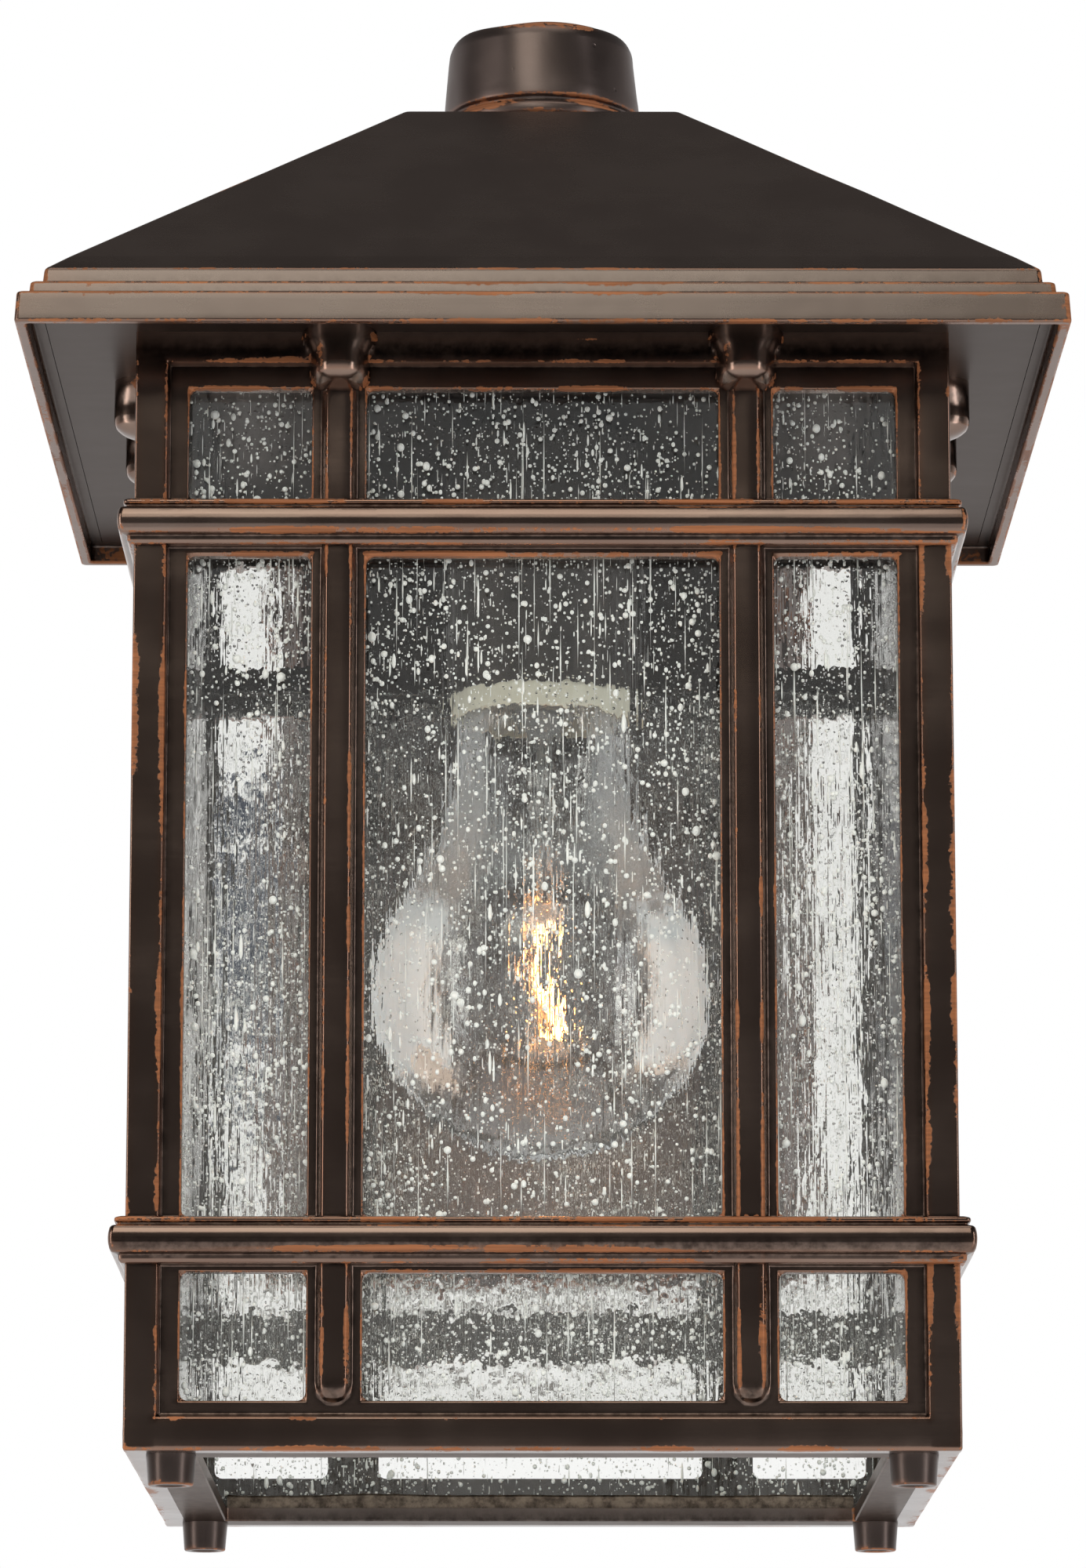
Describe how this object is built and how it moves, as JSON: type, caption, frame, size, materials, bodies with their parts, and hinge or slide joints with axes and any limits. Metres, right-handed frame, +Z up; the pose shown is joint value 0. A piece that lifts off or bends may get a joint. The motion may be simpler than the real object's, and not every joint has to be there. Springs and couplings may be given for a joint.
{
  "type": "outdoor wall light",
  "caption": "Square wall lantern with a stepped hood, seeded glass behind cast bronze panels, a screw-in bulb and a wall plate.",
  "frame": {"origin": "centre of the wall plate in the plane of the wall, at the mounting bar's back face", "axes": "+Z up, +Y into the wall, so the lantern hangs on the -Y side; +X to the right seen from the front"},
  "size_m": [0.177, 0.1965, 0.2699],
  "materials": {
    "bronze_casting": "satin dark bronze over cast metal, rubbed to copper along its edges",
    "dark_inside": "satin dark brown enamel",
    "seeded_glass": "clear glass full of small bubbles and upright streaks",
    "zinc_fastener": "zinc plated",
    "bar_steel": "galvanised",
    "brass_fitting": "plain brass, slightly dull",
    "socket_liner": "cream insulating sleeve",
    "phenolic": "black moulded insulator",
    "bulb_glass": "clear blown glass",
    "solder": "dull tin solder and nickel wire",
    "filament": "glowing tungsten coil",
    "gasket_foam": "black closed-cell foam",
    "green_screw": "green plated screw",
    "black_lead": "black sleeve",
    "white_lead": "white sleeve",
    "green_lead": "green sleeve",
    "connector_shell": "orange moulded shell"
  },
  "bodies": {
    "fixture": {"hood": "bronze_casting", "base_ring": "bronze_casting", "feet": "bronze_casting", "front_panel": "bronze_casting", "back_panel": "bronze_casting", "left_panel": "bronze_casting", "right_panel": "bronze_casting", "arm_tube": "bronze_casting", "arm_collars": "bronze_casting", "wall_plate": "bronze_casting", "ceiling_plate": "dark_inside", "lower_glass_stops": "dark_inside", "upper_glass_stops": "dark_inside", "cross_strap": "dark_inside", "socket_cup": "dark_inside", "front_glass": "seeded_glass", "back_glass": "seeded_glass", "left_glass": "seeded_glass", "right_glass": "seeded_glass", "panel_screws": "zinc_fastener", "threaded_rod": "zinc_fastener", "rod_nuts": "zinc_fastener", "strap_screws": "zinc_fastener", "arm_lock_nuts": "zinc_fastener", "mounting_bar": "bar_steel", "plate_studs": "bar_steel", "finial_seat": "brass_fitting", "screw_shell": "brass_fitting", "centre_contact": "brass_fitting", "socket_liner": "socket_liner", "socket_base": "phenolic", "plate_gasket": "gasket_foam", "ground_screw": "green_screw", "hot_lead": "black_lead", "neutral_lead": "white_lead", "ground_lead": "green_lead", "wire_connectors": "connector_shell"},
    "bulb": {"bulb_glass": "bulb_glass", "bulb_cap": "brass_fitting", "bulb_insulator": "phenolic", "bulb_tip": "solder", "bulb_stem": "bulb_glass", "bulb_wires": "solder", "bulb_filament": "filament"},
    "finial": {"finial": "bronze_casting"},
    "left_cap_nut": {"left_cap_nut": "bronze_casting"},
    "right_cap_nut": {"right_cap_nut": "bronze_casting"}
  },
  "joints": [
    {"name": "bulb_release", "type": "slide", "parent": "fixture", "child": "bulb", "axis": [0, 0, -1], "range_m": [0, 0.182]},
    {"name": "finial_turn", "type": "hinge", "parent": "fixture", "child": "finial", "pos_m": [0, -0.108, 0.12], "axis": [0, 0, 1], "continuous": true},
    {"name": "left_cap_nut_turn", "type": "hinge", "parent": "fixture", "child": "left_cap_nut", "pos_m": [-0.0381, -0.02, 0], "axis": [0, -1, 0], "continuous": true},
    {"name": "right_cap_nut_turn", "type": "hinge", "parent": "fixture", "child": "right_cap_nut", "pos_m": [0.0381, -0.02, 0], "axis": [0, -1, 0], "continuous": true}
  ]
}
